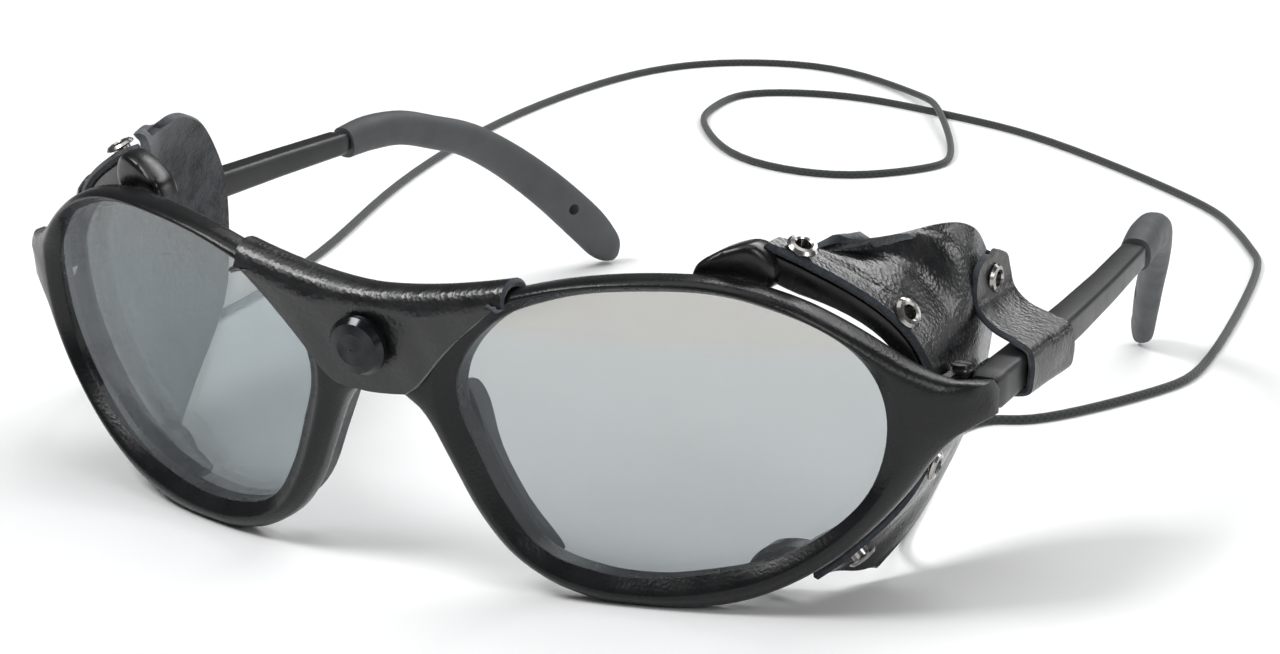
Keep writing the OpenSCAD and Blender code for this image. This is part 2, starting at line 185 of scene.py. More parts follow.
def apply_all(obj):
    """Applies the modifiers and the place, so that the object sits at the origin."""
    only(obj)
    for mod in list(obj.modifiers):
        bpy.ops.object.modifier_apply(modifier=mod.name)
    bpy.ops.object.transform_apply(location=True, rotation=True, scale=True)
    obj.select_set(False)


def loft(rings, closed_path=False):
    """Points and faces of a skin over rings of points, with a cap at each end of an open path."""
    sides = len(rings[0])
    count = len(rings)
    faces = []
    for i in range(count if closed_path else count - 1):
        this, following = i * sides, (i + 1) % count * sides
        for k in range(sides):
            m = (k + 1) % sides
            faces.append((this + k, this + m, following + m, following + k))
    if not closed_path:
        faces.append(tuple(range(sides)))
        faces.append(tuple((count - 1) * sides + k for k in range(sides)))
    return [p for ring in rings for p in ring], faces


def mirror_points(verts):
    return [Vector((-v[0], v[1], v[2])) for v in verts]


def both_sides(name, verts, faces, mat, smooth_angle):
    """The left piece and its mirrored right twin."""
    return [new_piece(name + "_left", verts, faces, mat, smooth_angle),
            new_piece(name + "_right", mirror_points(verts), faces, mat, smooth_angle)]


def sheet_normals(grid, centre):
    """The normal at each point of a grid of points, away from the centre."""
    last_row, last_col = len(grid) - 1, len(grid[0]) - 1
    normals = []
    outward = 0
    for i, row in enumerate(grid):
        line = []
        for j, point in enumerate(row):
            down = grid[min(i + 1, last_row)][j] - grid[max(i - 1, 0)][j]
            over = row[min(j + 1, last_col)] - row[max(j - 1, 0)]
            normal = down.cross(over).normalized()
            outward += normal.dot(point - centre)
            line.append(normal)
        normals.append(line)
    sign = 1 if outward > 0 else -1
    return [normal * sign for line in normals for normal in line]


def sheet_piece(name, grid, thick, centre, mat, mirror=False):
    """A leather sheet from the grid of its outer face: grained, suede inside, rounded cut edge."""
    rows, cols = len(grid), len(grid[0])
    count = rows * cols
    outer = [point for row in grid for point in row]
    inner = [point - normal * thick for point, normal in zip(outer, sheet_normals(grid, centre))]
    faces, slots = [], []
    for i in range(rows - 1):
        for j in range(cols - 1):
            a = i * cols + j
            faces.append((a, a + 1, a + cols + 1, a + cols))
            faces.append((count + a, count + a + cols, count + a + cols + 1, count + a + 1))
            slots += [0, 1]
    loop = ([(0, j) for j in range(cols)] + [(i, cols - 1) for i in range(1, rows)]
            + [(rows - 1, j) for j in range(cols - 2, -1, -1)] + [(i, 0) for i in range(rows - 2, 0, -1)])
    # The cut edge bulges out a little, half way through the thickness
    lips = []
    for i, j in loop:
        nearest = grid[min(max(i, 1), rows - 2)][min(max(j, 1), cols - 2)]
        away = (grid[i][j] - nearest).normalized()
        k = i * cols + j
        lips.append((outer[k] + inner[k]) / 2 + away * thick * EDGE_BULGE)
    for k, (i, j) in enumerate(loop):
        q = (k + 1) % len(loop)
        a, b = i * cols + j, loop[q][0] * cols + loop[q][1]
        faces.append((a, b, 2 * count + q, 2 * count + k))
        faces.append((2 * count + k, 2 * count + q, count + b, count + a))
        slots += [2, 2]
    points = [at(*p) for p in outer + inner + lips]
    if mirror:
        points = mirror_points(points)
    obj = add_mesh(name, points, faces)
    for slot_mat in (mat, finish_of(suede), finish_of(cut_edge)):
        obj.data.materials.append(slot_mat)
    for poly, slot in zip(obj.data.polygons, slots):
        poly.material_index = slot
    face_outwards(obj)
    finish_shading(obj, 50)
    return obj


# ---- Materials ----


class Finish:
    """A procedural material on Object coordinates, whose textures drive a base shader."""

    def __init__(self, name, colour, roughness, **sockets):
        self.mat = bpy.data.materials.new(name)
        self.mat.use_nodes = True
        self.nodes = self.mat.node_tree.nodes
        self.links = self.mat.node_tree.links
        self.shader = self.nodes["Principled BSDF"]
        self.shader.inputs["Base Color"].default_value = (*colour, 1)
        self.shader.inputs["Roughness"].default_value = roughness
        for key, value in sockets.items():
            self.shader.inputs[key.replace("_", " ")].default_value = value
        self.place = self.nodes.new("ShaderNodeTexCoord").outputs["Object"]
        self.last_bump = None

    def noise(self, scale, detail=3, rough=0.55, distort=0.0, stretch=None):
        tex = self.nodes.new("ShaderNodeTexNoise")
        tex.inputs["Scale"].default_value = scale
        tex.inputs["Detail"].default_value = detail
        tex.inputs["Roughness"].default_value = rough
        tex.inputs["Distortion"].default_value = distort
        self._feed(tex, stretch)
        return tex.outputs["Fac"]

    def cells(self, scale):
        tex = self.nodes.new("ShaderNodeTexVoronoi")
        tex.inputs["Scale"].default_value = scale
        self._feed(tex, None)
        return tex.outputs["Distance"]

    def _feed(self, tex, stretch):
        """Gives a texture its coordinates, stretched or as they are."""
        if stretch is None:
            self.links.new(self.place, tex.inputs["Vector"])
            return
        mapping = self.nodes.new("ShaderNodeMapping")
        mapping.inputs["Scale"].default_value = stretch
        self.links.new(self.place, mapping.inputs["Vector"])
        self.links.new(mapping.outputs["Vector"], tex.inputs["Vector"])

    def maths(self, operation, *values):
        """A Math node, whose values are numbers or outputs of other nodes."""
        node = self.nodes.new("ShaderNodeMath")
        node.operation = operation
        for socket, value in zip(node.inputs, values):
            if isinstance(value, (int, float)):
                socket.default_value = value
            else:
                self.links.new(value, socket)
        return node.outputs[0]

    def ramp(self, fac, *stops):
        """A ramp of grey values or colours at these places."""
        node = self.nodes.new("ShaderNodeValToRGB")
        ramp = node.color_ramp
        while len(ramp.elements) < len(stops):
            ramp.elements.new(0.5)
        for element, (where, value) in zip(ramp.elements, stops):
            shade = value if isinstance(value, tuple) else (value, value, value)
            element.position = where
            element.color = (*shade, 1)
        self.links.new(fac, node.inputs["Fac"])
        return node.outputs["Color"]

    def colour(self, fac, *stops):
        self.links.new(self.ramp(fac, *stops), self.shader.inputs["Base Color"])
        return self

    def roughness(self, fac, *stops):
        self.links.new(self.ramp(fac, *stops), self.shader.inputs["Roughness"])
        return self

    def bump(self, height, strength, distance):
        """Adds a layer of relief on top of the layers made before."""
        node = self.nodes.new("ShaderNodeBump")
        node.inputs["Strength"].default_value = strength
        node.inputs["Distance"].default_value = distance
        self.links.new(height, node.inputs["Height"])
        if self.last_bump is not None:
            self.links.new(self.last_bump, node.inputs["Normal"])
        self.last_bump = node.outputs["Normal"]
        self.links.new(self.last_bump, self.shader.inputs["Normal"])
        return self


def moulded_black():
    """Dark moulded nylon with a fine pebble grain and slightly polished spots."""
    f = Finish("moulded_black", (0.022, 0.023, 0.026), 0.36, Specular_IOR_Level=0.28)
    f.colour(f.noise(90, 4), (0.3, (0.005, 0.0053, 0.006)), (0.75, (0.009, 0.0096, 0.0105)))
    f.roughness(f.noise(300, 3), (0.3, 0.24), (0.7, 0.34))
    f.bump(f.noise(2200, 2), 0.4, 0.00011)
    f.bump(f.noise(180, 2), 0.12, 0.0004)
    return f.mat


def satin_black():
    """The smoother semi-gloss plastic of the shield carriers."""
    f = Finish("satin_black", (0.02, 0.02, 0.022), 0.3, Specular_IOR_Level=0.4)
    f.colour(f.noise(120, 3), (0.3, (0.004, 0.004, 0.0045)), (0.8, (0.008, 0.008, 0.009)))
    f.roughness(f.noise(260, 4), (0.3, 0.2), (0.7, 0.38))
    f.bump(f.noise(1500, 2), 0.12, 0.00006)
    return f.mat


def temple_black():
    f = Finish("temple_black", (0.03, 0.032, 0.035), 0.4, Specular_IOR_Level=0.4)
    f.colour(f.noise(140, 4), (0.3, (0.008, 0.0085, 0.0095)), (0.75, (0.015, 0.016, 0.0175)))
    f.roughness(f.noise(260, 3), (0.3, 0.34), (0.7, 0.42))
    f.bump(f.noise(2600, 2), 0.25, 0.00006)
    return f.mat


def grained_leather(name, colour, gloss):
    """Finished leather: a shiny coat over fine pebbled grain, with broken highlights and pores."""
    f = Finish(name, colour, gloss, Specular_IOR_Level=0.6)
    light = tuple(c * 2.2 + 0.002 for c in colour)
    f.colour(f.noise(160, 5, 0.6, 0.4), (0.3, colour), (0.8, light))
    f.roughness(f.noise(320, 4, 0.6), (0.25, gloss - 0.08), (0.75, gloss + 0.14))
    f.bump(f.noise(130, 2, 0.5, 0.3), 0.3, 0.0006)
    f.bump(f.cells(1700), 0.35, 0.00012)
    f.bump(f.noise(3800, 2), 0.25, 0.00005)
    return f.mat


def suede():
    """The raw flesh side of the leather."""
    f = Finish("leather_back", (0.11, 0.12, 0.13), 0.92, Sheen_Weight=0.35, Sheen_Roughness=0.5)
    f.colour(f.noise(400, 5, 0.7), (0.38, (0.018, 0.02, 0.023)), (0.62, (0.06, 0.066, 0.073)))
    f.bump(f.noise(420, 4, 0.7), 0.5, 0.0006)
    f.bump(f.noise(1800, 5, 0.75), 0.7, 0.0003)
    return f.mat


def cut_edge():
    """The fuzzy cut edge of the leather, blue-grey."""
    f = Finish("leather_edge", (0.16, 0.19, 0.23), 0.9, Sheen_Weight=0.3)
    f.colour(f.noise(900, 4, 0.7), (0.25, (0.008, 0.01, 0.013)), (0.8, (0.045, 0.055, 0.07)))
    f.bump(f.noise(2400, 4, 0.7), 0.8, 0.0002)
    return f.mat


def nickel():
    f = Finish("nickel", (0.62, 0.62, 0.6), 0.22, Metallic=1.0)
    f.colour(f.noise(300, 4), (0.3, (0.3, 0.29, 0.28)), (0.7, (0.55, 0.54, 0.52)))
    f.roughness(f.noise(700, 4), (0.3, 0.14), (0.75, 0.36))
    f.bump(f.noise(1200, 3), 0.12, 0.00006)
    return f.mat


def turned_steel():
    f = Finish("steel", (0.5, 0.5, 0.5), 0.28, Metallic=1.0)
    f.colour(f.noise(500, 4), (0.3, (0.12, 0.12, 0.125)), (0.7, (0.26, 0.26, 0.265)))
    f.roughness(f.noise(900, 3, stretch=(1, 1, 6)), (0.3, 0.18), (0.75, 0.42))
    f.bump(f.noise(1800, 2, stretch=(1, 1, 8)), 0.15, 0.00005)
    return f.mat


def gunmetal():
    """The dark lacquered snap cap."""
    f = Finish("gunmetal", (0.06, 0.062, 0.066), 0.24, Metallic=0.85)
    f.colour(f.noise(420, 4), (0.35, (0.02, 0.021, 0.023)), (0.8, (0.045, 0.047, 0.05)))
    f.roughness(f.noise(600, 4), (0.3, 0.14), (0.75, 0.24))
    f.bump(f.noise(900, 3), 0.06, 0.00006)
    return f.mat


def soft_rubber(name, dark, light):
    """Matt rubber with fine mould texture and dull rubbed patches."""
    f = Finish(name, dark, 0.62, Specular_IOR_Level=0.35)
    f.colour(f.noise(110, 5, 0.6), (0.3, dark), (0.75, light))
    f.roughness(f.noise(350, 4), (0.3, 0.5), (0.75, 0.74))
    f.bump(f.noise(1900, 3), 0.25, 0.0001)
    return f.mat


BRAIDS_PER_METRE = 900
BRAIDS_ROUND = 4


def braided_cord():
    """A fine braid that runs along the cord, on its own UV map."""
    f = Finish("cord_braid", (0.1, 0.12, 0.11), 0.75, Sheen_Weight=0.25)
    mapping = f.nodes.new("ShaderNodeMapping")
    mapping.inputs["Scale"].default_value = (BRAIDS_PER_METRE, BRAIDS_ROUND, 1)
    f.links.new(f.nodes.new("ShaderNodeTexCoord").outputs["UV"], mapping.inputs["Vector"])
    split = f.nodes.new("ShaderNodeSeparateXYZ")
    f.links.new(mapping.outputs["Vector"], split.inputs[0])
    waves = []
    for slant in (1, -1):
        phase = f.maths("MULTIPLY_ADD", split.outputs["Y"], slant, split.outputs["X"])
        waves.append(f.maths("SINE", f.maths("MULTIPLY", phase, 2 * math.pi)))
    strand_relief_and_shade = f.maths("MAXIMUM", *waves)
    # The grooves between the strands are painted darker, as painted shade; the same signal gives the braid
    # its relief
    f.colour(strand_relief_and_shade, (0.0, (0.01, 0.0125, 0.012)), (0.9, (0.024, 0.029, 0.028)))
    f.bump(strand_relief_and_shade, 0.4, 0.00007)
    f.bump(f.noise(3000, 4, 0.7), 0.3, 0.00008)
    return f.mat


LENS_TOP = 0.045


def mirror_lens():
    """Grey glass with a light mirror coat; its tint carries a painted reflection, paler and warmer towards
    the top, and is darker towards the bottom.
    """
    f = Finish("lens_glass", (0.5, 0.53, 0.55), 0.04)
    split = f.nodes.new("ShaderNodeSeparateXYZ")
    f.links.new(f.place, split.inputs[0])
    height = f.nodes.new("ShaderNodeMapRange")
    height.inputs["From Min"].default_value = 0.0
    height.inputs["From Max"].default_value = LENS_TOP
    f.links.new(split.outputs["Z"], height.inputs["Value"])
    # The glass's grey tint with a painted reflection: paler and warmer towards the top, darker towards the
    # bottom
    tint_and_painted_reflection = f.ramp(height.outputs["Result"],
                  (0.06, (0.575, 0.597, 0.602)), (0.4, (0.64, 0.66, 0.66)),
                  (0.76, (0.655, 0.675, 0.672)), (0.84, (0.675, 0.668, 0.65)))
    clear = f.nodes.new("ShaderNodeBsdfTransparent")
    f.links.new(tint_and_painted_reflection, clear.inputs["Color"])
    gloss = f.nodes.new("ShaderNodeBsdfGlossy")
    gloss.inputs["Color"].default_value = (0.88, 0.93, 0.965, 1)
    gloss.inputs["Roughness"].default_value = 0.03
    weight = f.nodes.new("ShaderNodeLayerWeight")
    weight.inputs["Blend"].default_value = 0.3
    haze = f.ramp(f.noise(60, 4, 0.6), (0.3, 0.02), (0.8, 0.038))
    shown = f.nodes.new("ShaderNodeMixShader")
    f.links.new(f.maths("MULTIPLY_ADD", weight.outputs["Fresnel"], 0.6, haze), shown.inputs["Fac"])
    f.links.new(clear.outputs[0], shown.inputs[1])
    f.links.new(gloss.outputs[0], shown.inputs[2])
    f.links.new(shown.outputs[0], f.nodes["Material Output"].inputs["Surface"])
    return f.mat


def table_white():
    f = Finish("table_white", (0.86, 0.87, 0.88), 0.6, Specular_IOR_Level=0.2)
    f.colour(f.noise(4, 2), (0.3, (0.93, 0.935, 0.94)), (0.8, (0.95, 0.953, 0.956)))
    f.roughness(f.noise(60, 2), (0.3, 0.55), (0.8, 0.68))
    return f.mat


MADE = {}


def finish_of(maker, *words):
    """The material of a maker, made once for each name it's given."""
    key = (maker, *words[:1])
    if key not in MADE:
        MADE[key] = maker(*words)
    return MADE[key]


def shield_leather():
    """The side shields' leather, as the panel sets it."""
    leather = bpy.context.scene.glasses_leather
    return finish_of(grained_leather, "shield_leather", tuple(leather.colour), leather.gloss)


def coat(node, mat):
    """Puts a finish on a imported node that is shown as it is."""
    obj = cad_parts[node]
    if not obj.material_slots:
        obj.data.materials.append(mat)
    for slot in obj.material_slots:
        slot.material = mat


# ---- Front ----

FRONT_TOP = [
    (0, 38.2), (8, 38.6), (14, 40), (20, 41.9), (27, 43.8), (35, 45), (43, 45.2), (49, 44.2),
    (54.5, 42), (60, 38.4), (65.5, 34), (69.5, 31.8), (73.2, 31.1),
]
FRONT_BOTTOM = [
    (73.2, 26.4), (70.2, 24.6), (67.2, 21.2), (64, 16.2), (59.6, 10.8), (55, 6.5), (49.4, 2.9),
    (43.4, 0.6), (36.5, -0.3), (29.5, -0.3), (24.4, 0.7), (20.4, 2.4), (16.1, 5.6), (12.4, 10.6),
    (9.3, 17), (6.3, 23), (3.2, 25.8), (0, 26.6),
]
# Sections through the front: share of the way outwards, and depth from the lens surface in mm
RIM_SECTION = [
    (0.0, 0.35), (0.12, -0.1), (0.3, -0.75), (0.44, -1.22), (0.5, -1.36), (0.56, -1.4),
    (0.62, -1.36), (0.72, -1.18), (0.84, -0.82), (0.93, -0.35), (0.98, 0.25), (1.0, 0.9),
    (1.0, 1.9), (0.985, 2.6), (0.93, 3.0), (0.82, 3.2), (0.5, 3.2), (0.12, 3.2), (0.0, 2.9),
]


# The slices that reach the bridge stay flat, where they meet their mirrored twins
BRIDGE_SECTION = RIM_SECTION[:6] + [
    (0.62, -1.34), (0.72, -1.24), (0.84, -1.12), (0.93, -1.1), (0.98, -1.1), (1.0, 0), (1.0, 1.9),
    (1.0, 2.6), (1.0, 3.0),
] + RIM_SECTION[15:]
# The rim's bead is this wide, and ends at this share of the section
BEAD_WIDTH = 5
RIM_BEAD_SHARE = 0.56
BRIDGE_BEAD_SHARE = 0.6
# Where the front becomes the end piece: its middle angle and half of its spread
END_ANGLE = 12.5
END_HALF = 5.5
# Section points beyond this share follow the end piece: those nearer the face than this depth are
# rounded off, and the deeper ones run back to the temple
END_SHARE = 0.72
END_BACK = 1.2
FRONT_SLICES = 180


def front_outline():
    curve = smooth(FRONT_TOP, 4) + smooth(FRONT_BOTTOM, 4)
    return [(q.x, max(q.y, REST_Z)) for q in curve]


def ray_reach(angle, outline):
    """Distance from the lens centre to the outside of the front in that direction."""
    a = math.radians(angle)
    dx, dz = math.cos(a), math.sin(a)
    hits = []
    for (x0, z0), (x1, z1) in zip(outline, outline[1:] + outline[:1]):
        ex, ez = x1 - x0, z1 - z0
        cross = dx * ez - dz * ex
        if abs(cross) < 1e-9:
            continue
        reach = ((x0 - LENS_CENTRE) * ez - (z0 - LENS_HEIGHT) * ex) / cross
        share = ((x0 - LENS_CENTRE) * dz - (z0 - LENS_HEIGHT) * dx) / cross
        if reach > 0 and -1e-6 <= share <= 1 + 1e-6:
            hits.append(reach)
    return min(hits)


def end_piece_share(angle):
    """1 where the front turns back to the hinge, falling to 0 above and below it."""
    gap = abs((angle - END_ANGLE + 180) % 360 - 180)
    return ease(1.6 * (1 - gap / END_HALF))


def rim_ring(angle, outline):
    """One radial slice through the front: rim, and beyond it the bridge or the end piece."""
    inner = lens_radius(angle)
    outer = ray_reach(angle, outline)
    bead = min(outer - inner, BEAD_WIDTH)
    a = math.radians(angle)
    section, knee = RIM_SECTION, RIM_BEAD_SHARE
    if LENS_CENTRE + outer * math.cos(a) < 0.02:
        section, knee = BRIDGE_SECTION, BRIDGE_BEAD_SHARE
    end = end_piece_share(angle)
    ring = []
    for share, back in section:
        if share <= knee:
            r = inner + share * bead
        else:
            r = inner + mix(knee * bead, outer - inner, (share - knee) / (1 - knee))
        x = LENS_CENTRE + r * math.cos(a)
        z = LENS_HEIGHT + r * math.sin(a)
        y = depth(x, z) + back
        if share > END_SHARE and back < END_BACK:
            y += 2.2 * end * ease((x - 69.5) / 3.7)
        elif share > END_SHARE:
            y = mix(y, SPLIT_Y - 0.02, end)
        ring.append(at(x, y, z))
    return ring


class GLASSES_OT_front(bpy.types.Operator):
    """Make the moulded front with its bevelled rims"""
    bl_idname = "glasses.front"
    bl_label = "Front"

    def execute(self, context):
        outline = front_outline()
        rings = [rim_ring(i * 360 / FRONT_SLICES, outline) for i in range(FRONT_SLICES)]
        verts, faces = loft(rings, closed_path=True)
        half = len(verts)
        mirrored = [tuple(i + half for i in reversed(face)) for face in faces]
        front = new_piece("front_rims", verts + mirror_points(verts), faces + mirrored,
                          finish_of(moulded_black), 38)
        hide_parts("front_frame")
        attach(front, "front")
        return {"FINISHED"}


class GLASSES_OT_lenses(bpy.types.Operator):
    """Give the lenses their mirrored grey glass"""
    bl_idname = "glasses.lenses"
    bl_label = "Lenses"

    def execute(self, context):
        for side, _ in SIDES:
            coat("lens_" + side, finish_of(mirror_lens))
        return {"FINISHED"}


class GLASSES_OT_nose_pads(bpy.types.Operator):
    """Give the nose pads their soft finish"""
    bl_idname = "glasses.nose_pads"
    bl_label = "Nose pads"

    def execute(self, context):
        rubber = finish_of(soft_rubber, "pad_rubber", (0.06, 0.065, 0.07), (0.1, 0.106, 0.112))
        for side, _ in SIDES:
            coat("nose_pad_" + side, rubber)
        return {"FINISHED"}


# ---- Bridge cover ----

# Half of the flap's side edge, from the crest down to its point
FLAP_SIDE = [
    (19.9, 40.1), (18.9, 39.9), (17.2, 38.6), (13.7, 35.4), (10.4, 32.1), (8, 29.2), (6.5, 27.6),
    (5, 26.6),
]
# How the cover rolls over the top edge: depth from the lens surface, and drop below the crest
COVER_ROLL = [
    (4.2, 3.8), (4.4, 2.9), (4.3, 2.0), (3.9, 1.2), (3.2, 0.6), (2.3, 0.2), (1.3, 0.02), (0.3, 0.05),
    (-0.6, 0.35), (-1.35, 0.9), (-1.9, 1.6), (-2.3, 2.5),
]


COVER_HALF_WIDTH = 19.7
COVER_COLUMNS = 16
COVER_THICK = 1.05
# How far the flap stands off the lens surface, and how its middle line runs down
FLAP_OFF = 2.55
FLAP_ROWS = 30
FLAP_TOP = 37
FLAP_POINT = 26.2
SNAP_Z = 33.6


def crest(u):
    """Height of the cover's top edge at share u of its half width."""
    return mix(40.4, 43.3, abs(u) ** 1.6)


def cover_skin():
    """The outer face of the cover, from behind the bridge over the crest to the flap's point."""
    shares = [k / COVER_COLUMNS for k in range(-COVER_COLUMNS, COVER_COLUMNS + 1)]
    grid = []
    for back, drop in COVER_ROLL:
        row = []
        for u in shares:
            x, z = u * COVER_HALF_WIDTH, crest(u) - drop
            row.append(Vector((x, depth(x, z) + back, z)))
        grid.append(row)
    side = smooth(FLAP_SIDE, 4)
    for i in range(FLAP_ROWS):
        v = i / (FLAP_ROWS - 1)
        edge = along(side, v)
        row = []
        for u in shares:
            x = u * edge.x
            z = mix(mix(FLAP_TOP, FLAP_POINT, v), edge.y, abs(u) ** 1.6)
            # Two puckers beside the snap, a slight wave, and the hollow the snap presses in
            pucker = 0.28 * bell(abs(x), 9, 3) * bell(z, 37, 2.5)
            wave = 0.12 * math.sin(0.9 * x + 0.5 * z) * math.sin(math.pi * v)
            hollow = 0.25 * bell(x, 0, 6) * bell(z, SNAP_Z, 6)
            row.append(Vector((x, depth(x, z) - FLAP_OFF - pucker - wave + hollow, z)))
        grid.append(row)
    return grid


class GLASSES_OT_bridge(bpy.types.Operator):
    """Make the leather cover over the bridge and the snap cap on it"""
    bl_idname = "glasses.bridge"
    bl_label = "Bridge cover"

    def execute(self, context):
        mat = finish_of(grained_leather, "bridge_leather", (0.004, 0.0043, 0.005), 0.3)
        cover = sheet_piece("bridge_leather", cover_skin(), COVER_THICK, Vector((0, 1.5, 33)), mat)
        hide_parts("bridge_cover")
        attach(cover, "front")
        coat("snap_cap", finish_of(gunmetal))
        for node in ("snap_socket", "snap_stud", "snap_post"):
            coat(node, finish_of(nickel))
        return {"FINISHED"}


# ---- Side shields ----

# Angles round the lens where the leather begins and ends
ARC_TOP = 59
ARC_BOTTOM = -38
# Rear edge of the leather, from the top lobe down to the tab
SHIELD_REAR = [
    (54.6, 25, 45), (58.6, 37, 45.4), (60, 44, 44.2), (60.2, 48.6, 41), (60.2, 52.4, 34),
    (59.6, 52.2, 25), (58.4, 48.6, 16.2), (57, 38.5, 7.6), (55.2, 30.5, 3),
]
SHIELD_ROWS = 72
SHIELD_COLUMNS = 36
SHIELD_THICK = 1.15
# The first share of the leather runs straight back over the carrier, for this many mm
SEAT_SHARE = 0.12
SEAT = 2.7


def carrier_grow(angle):
    """How far the carrier's outside stands outside the lens edge: least beside the hinge."""
    return 2 + 3 * min(1, ((angle - 10) / 50) ** 2)


def shield_line(s):
    """Front and rear ends of the leather at share s of the way down."""
    angle = ARC_TOP + (ARC_BOTTOM - ARC_TOP) * s
    x, z = lens_point(angle, carrier_grow(angle) + 0.15)
    front = Vector((x, depth(x, z) + 7.3, max(z, 0.4)))
    rear = along(smooth(SHIELD_REAR, 6), s)
    return front, rear


def shield_skin(s, t):
    """A point of the leather's outer face, at share s of the way down and t of the way back."""
    front, rear = shield_line(s)
    out = Vector((front.x - 38, 0, front.z - 22)).normalized()
    seat_end = front + Vector((0, SEAT, 0))
    if t < SEAT_SHARE:
        p = front.lerp(seat_end, t / SEAT_SHARE)
        u = 0
    else:
        u = (t - SEAT_SHARE) / (1 - SEAT_SHARE)
        p = seat_end.lerp(rear, u)
    belly = math.sin(math.pi * u)
    swell = 0.8 * belly * math.sin(math.pi * s)
    # Creases below the top edge, a pinch and a hollow beside it, and slow waves all over
    crease = 0.2 * ease(5 * s) * math.sin(17 * u + 12 * s) * bell(s, 0.22, 0.14)
    crease *= ease(u * 3) * ease((1 - u) * 3)
    pinch = -0.6 * bell(s, 0.3, 0.07) * bell(u, 0.3, 0.2)
    wave = 0.3 * math.sin(11 * s + 5 * u) * belly * ease(4 * s)
    dip = -1.5 * bell(u, 0.4, 0.2) * bell(s, 0, 0.3)
    return p + out * (1.2 + swell + crease + pinch + wave + dip)


class GLASSES_OT_shields(bpy.types.Operator):
    """Make the leather side shields with their creases and cut edges"""
    bl_idname = "glasses.shields"
    bl_label = "Side shields"

    def execute(self, context):
        grid = [[shield_skin(i / SHIELD_ROWS, j / SHIELD_COLUMNS) for j in range(SHIELD_COLUMNS + 1)]
                for i in range(SHIELD_ROWS + 1)]
        for name, side in SIDES:
            shield = sheet_piece("shield_leather_" + name, grid, SHIELD_THICK, Vector((38, 35, 22)),
                                 shield_leather(), name == "right")
            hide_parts("side_shield_" + name)
            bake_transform(shield)
        return {"FINISHED"}


# ---- Carriers and metal ----

# Outlines of the carrier's two plates, and their layers: depth from the lens surface, and inset
FIN = [
    (39.6, 43.6), (40.6, 45.8), (43.6, 47.7), (46.6, 48.5), (48.5, 47.3), (49.4, 45), (48.4, 42.6),
    (44, 42.6),
]
FIN_LAYERS = [(4.9, 1.2), (5.05, 0.6), (5.4, 0.2), (5.9, 0), (8.9, 0), (9.5, 0.25), (9.8, 0.8)]
LOWER_TAB = [(45, 1.8), (43.9, 4.4), (45.6, 6.7), (48, 7.3), (50.5, 6.9), (51.8, 5.4), (49.6, 3.2)]
TAB_LAYERS = [(5.0, 1.1), (5.15, 0.5), (5.5, 0.15), (6, 0), (9.2, 0), (9.7, 0.4)]
# Section of the carrier's arc: shares of its width and of its depth
ARC_SECTION = [
    (0.0, 0.12), (0.06, 0.02), (0.2, 0.0), (0.8, 0.0), (0.94, 0.04), (1.0, 0.2), (1.0, 0.8),
    (0.94, 0.97), (0.8, 1.0), (0.2, 1.0), (0.06, 0.98), (0.0, 0.88),
]
ARC_STEPS = 48
ARC_WIDTH = 3.6
ARC_FACE = 7.2
ARC_BACK = 9.8


def plate(name, outline, layers, mat):
    """A thick plate with rounded edges on the curved front, and its mirrored twin."""
    ring = smooth(outline + outline[:1], 5)[:-1]
    middle = sum(ring, Vector((0, 0))) / len(ring)
    rings = []
    for back, inset in layers:
        line = []
        for q in ring:
            arm = q - middle
            x, z = middle + arm * max(0.05, 1 - inset / arm.length)
            line.append(at(x, depth(x, z) + back, z))
        rings.append(line)
    verts, faces = loft(rings)
    return both_sides(name, verts, faces, mat, 35)


def carrier_rings():
    rings = []
    for i in range(ARC_STEPS + 1):
        angle = mix(-58, 66, i / ARC_STEPS)
        outer = carrier_grow(angle)
        inner = max(0.2, outer - ARC_WIDTH)
        # The arc narrows over its last three slices at each end
        close = min(1, 0.45 + 0.2 * min(i, ARC_STEPS - i))
        # Below the hinge the arc reaches forward to the back of the rim
        face = mix(ARC_FACE, 3.4, ease((18 - angle) / 8) * ease((angle + 52) / 12))
        ring = []
        for across, back in ARC_SECTION:
            grow = mix(inner, outer, 0.5 + (across - 0.5) * close)
            x, z = lens_point(angle, grow)
            ring.append(at(x, depth(x, z) + mix(face, ARC_BACK, back), max(z, 0.1)))
        rings.append(ring)
    return rings


class GLASSES_OT_carriers(bpy.types.Operator):
    """Make the shield carriers, and give the eyelets, hinges and screws their finishes"""
    bl_idname = "glasses.carriers"
    bl_label = "Carriers and metal"

    def execute(self, context):
        mat = finish_of(satin_black)
        verts, faces = loft(carrier_rings())
        arcs = both_sides("carrier_arc", verts, faces, mat, 35)
        fins = plate("carrier_fin", FIN, FIN_LAYERS, mat)
        tabs = plate("carrier_tab", LOWER_TAB, TAB_LAYERS, mat)
        for (side, _), *pieces in zip(SIDES, arcs, fins, tabs):
            for piece in pieces:
                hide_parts("shield_carrier_" + side)
                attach(piece, "front")
            coat("shield_eyelets_" + side, finish_of(nickel))
            coat("strap_eyelets_" + side, finish_of(nickel))
            for node in ("hinge_leaf_", "hinge_screw_", "temple_leaf_", "leaf_rivets_", "core_wire_"):
                coat(node + side, finish_of(turned_steel))
        return {"FINISHED"}


# ---- Temples ----

# Middle line of the rubber tip, and its width and height there
TIP_PATH = [
    (65.6, 91.6, 29.6), (64.6, 97, 30.1), (63.2, 104, 29.6), (61.2, 111, 27.5), (59, 117.8, 25),
    (56.2, 125, 20.4), (52.8, 132.2, 14.2), (49.6, 138.8, 7.4), (48.2, 141.8, 3.8), (47.3, 143.2, 1.9),
    (46.95, 144.1, 0.7),
]
TIP_SIZES = [
    (4.4, 4.9), (4.7, 5.4), (4.6, 5.4), (4.4, 5.4), (4.2, 5.6), (4, 6), (3.9, 6.5), (3.8, 6.8),
    (3.5, 6.2), (2.9, 4.6), (1.4, 1.9),
]
TIP_SIDES = 24
# Below 1 the section has flatter sides than an oval
TIP_SQUARENESS = 0.8
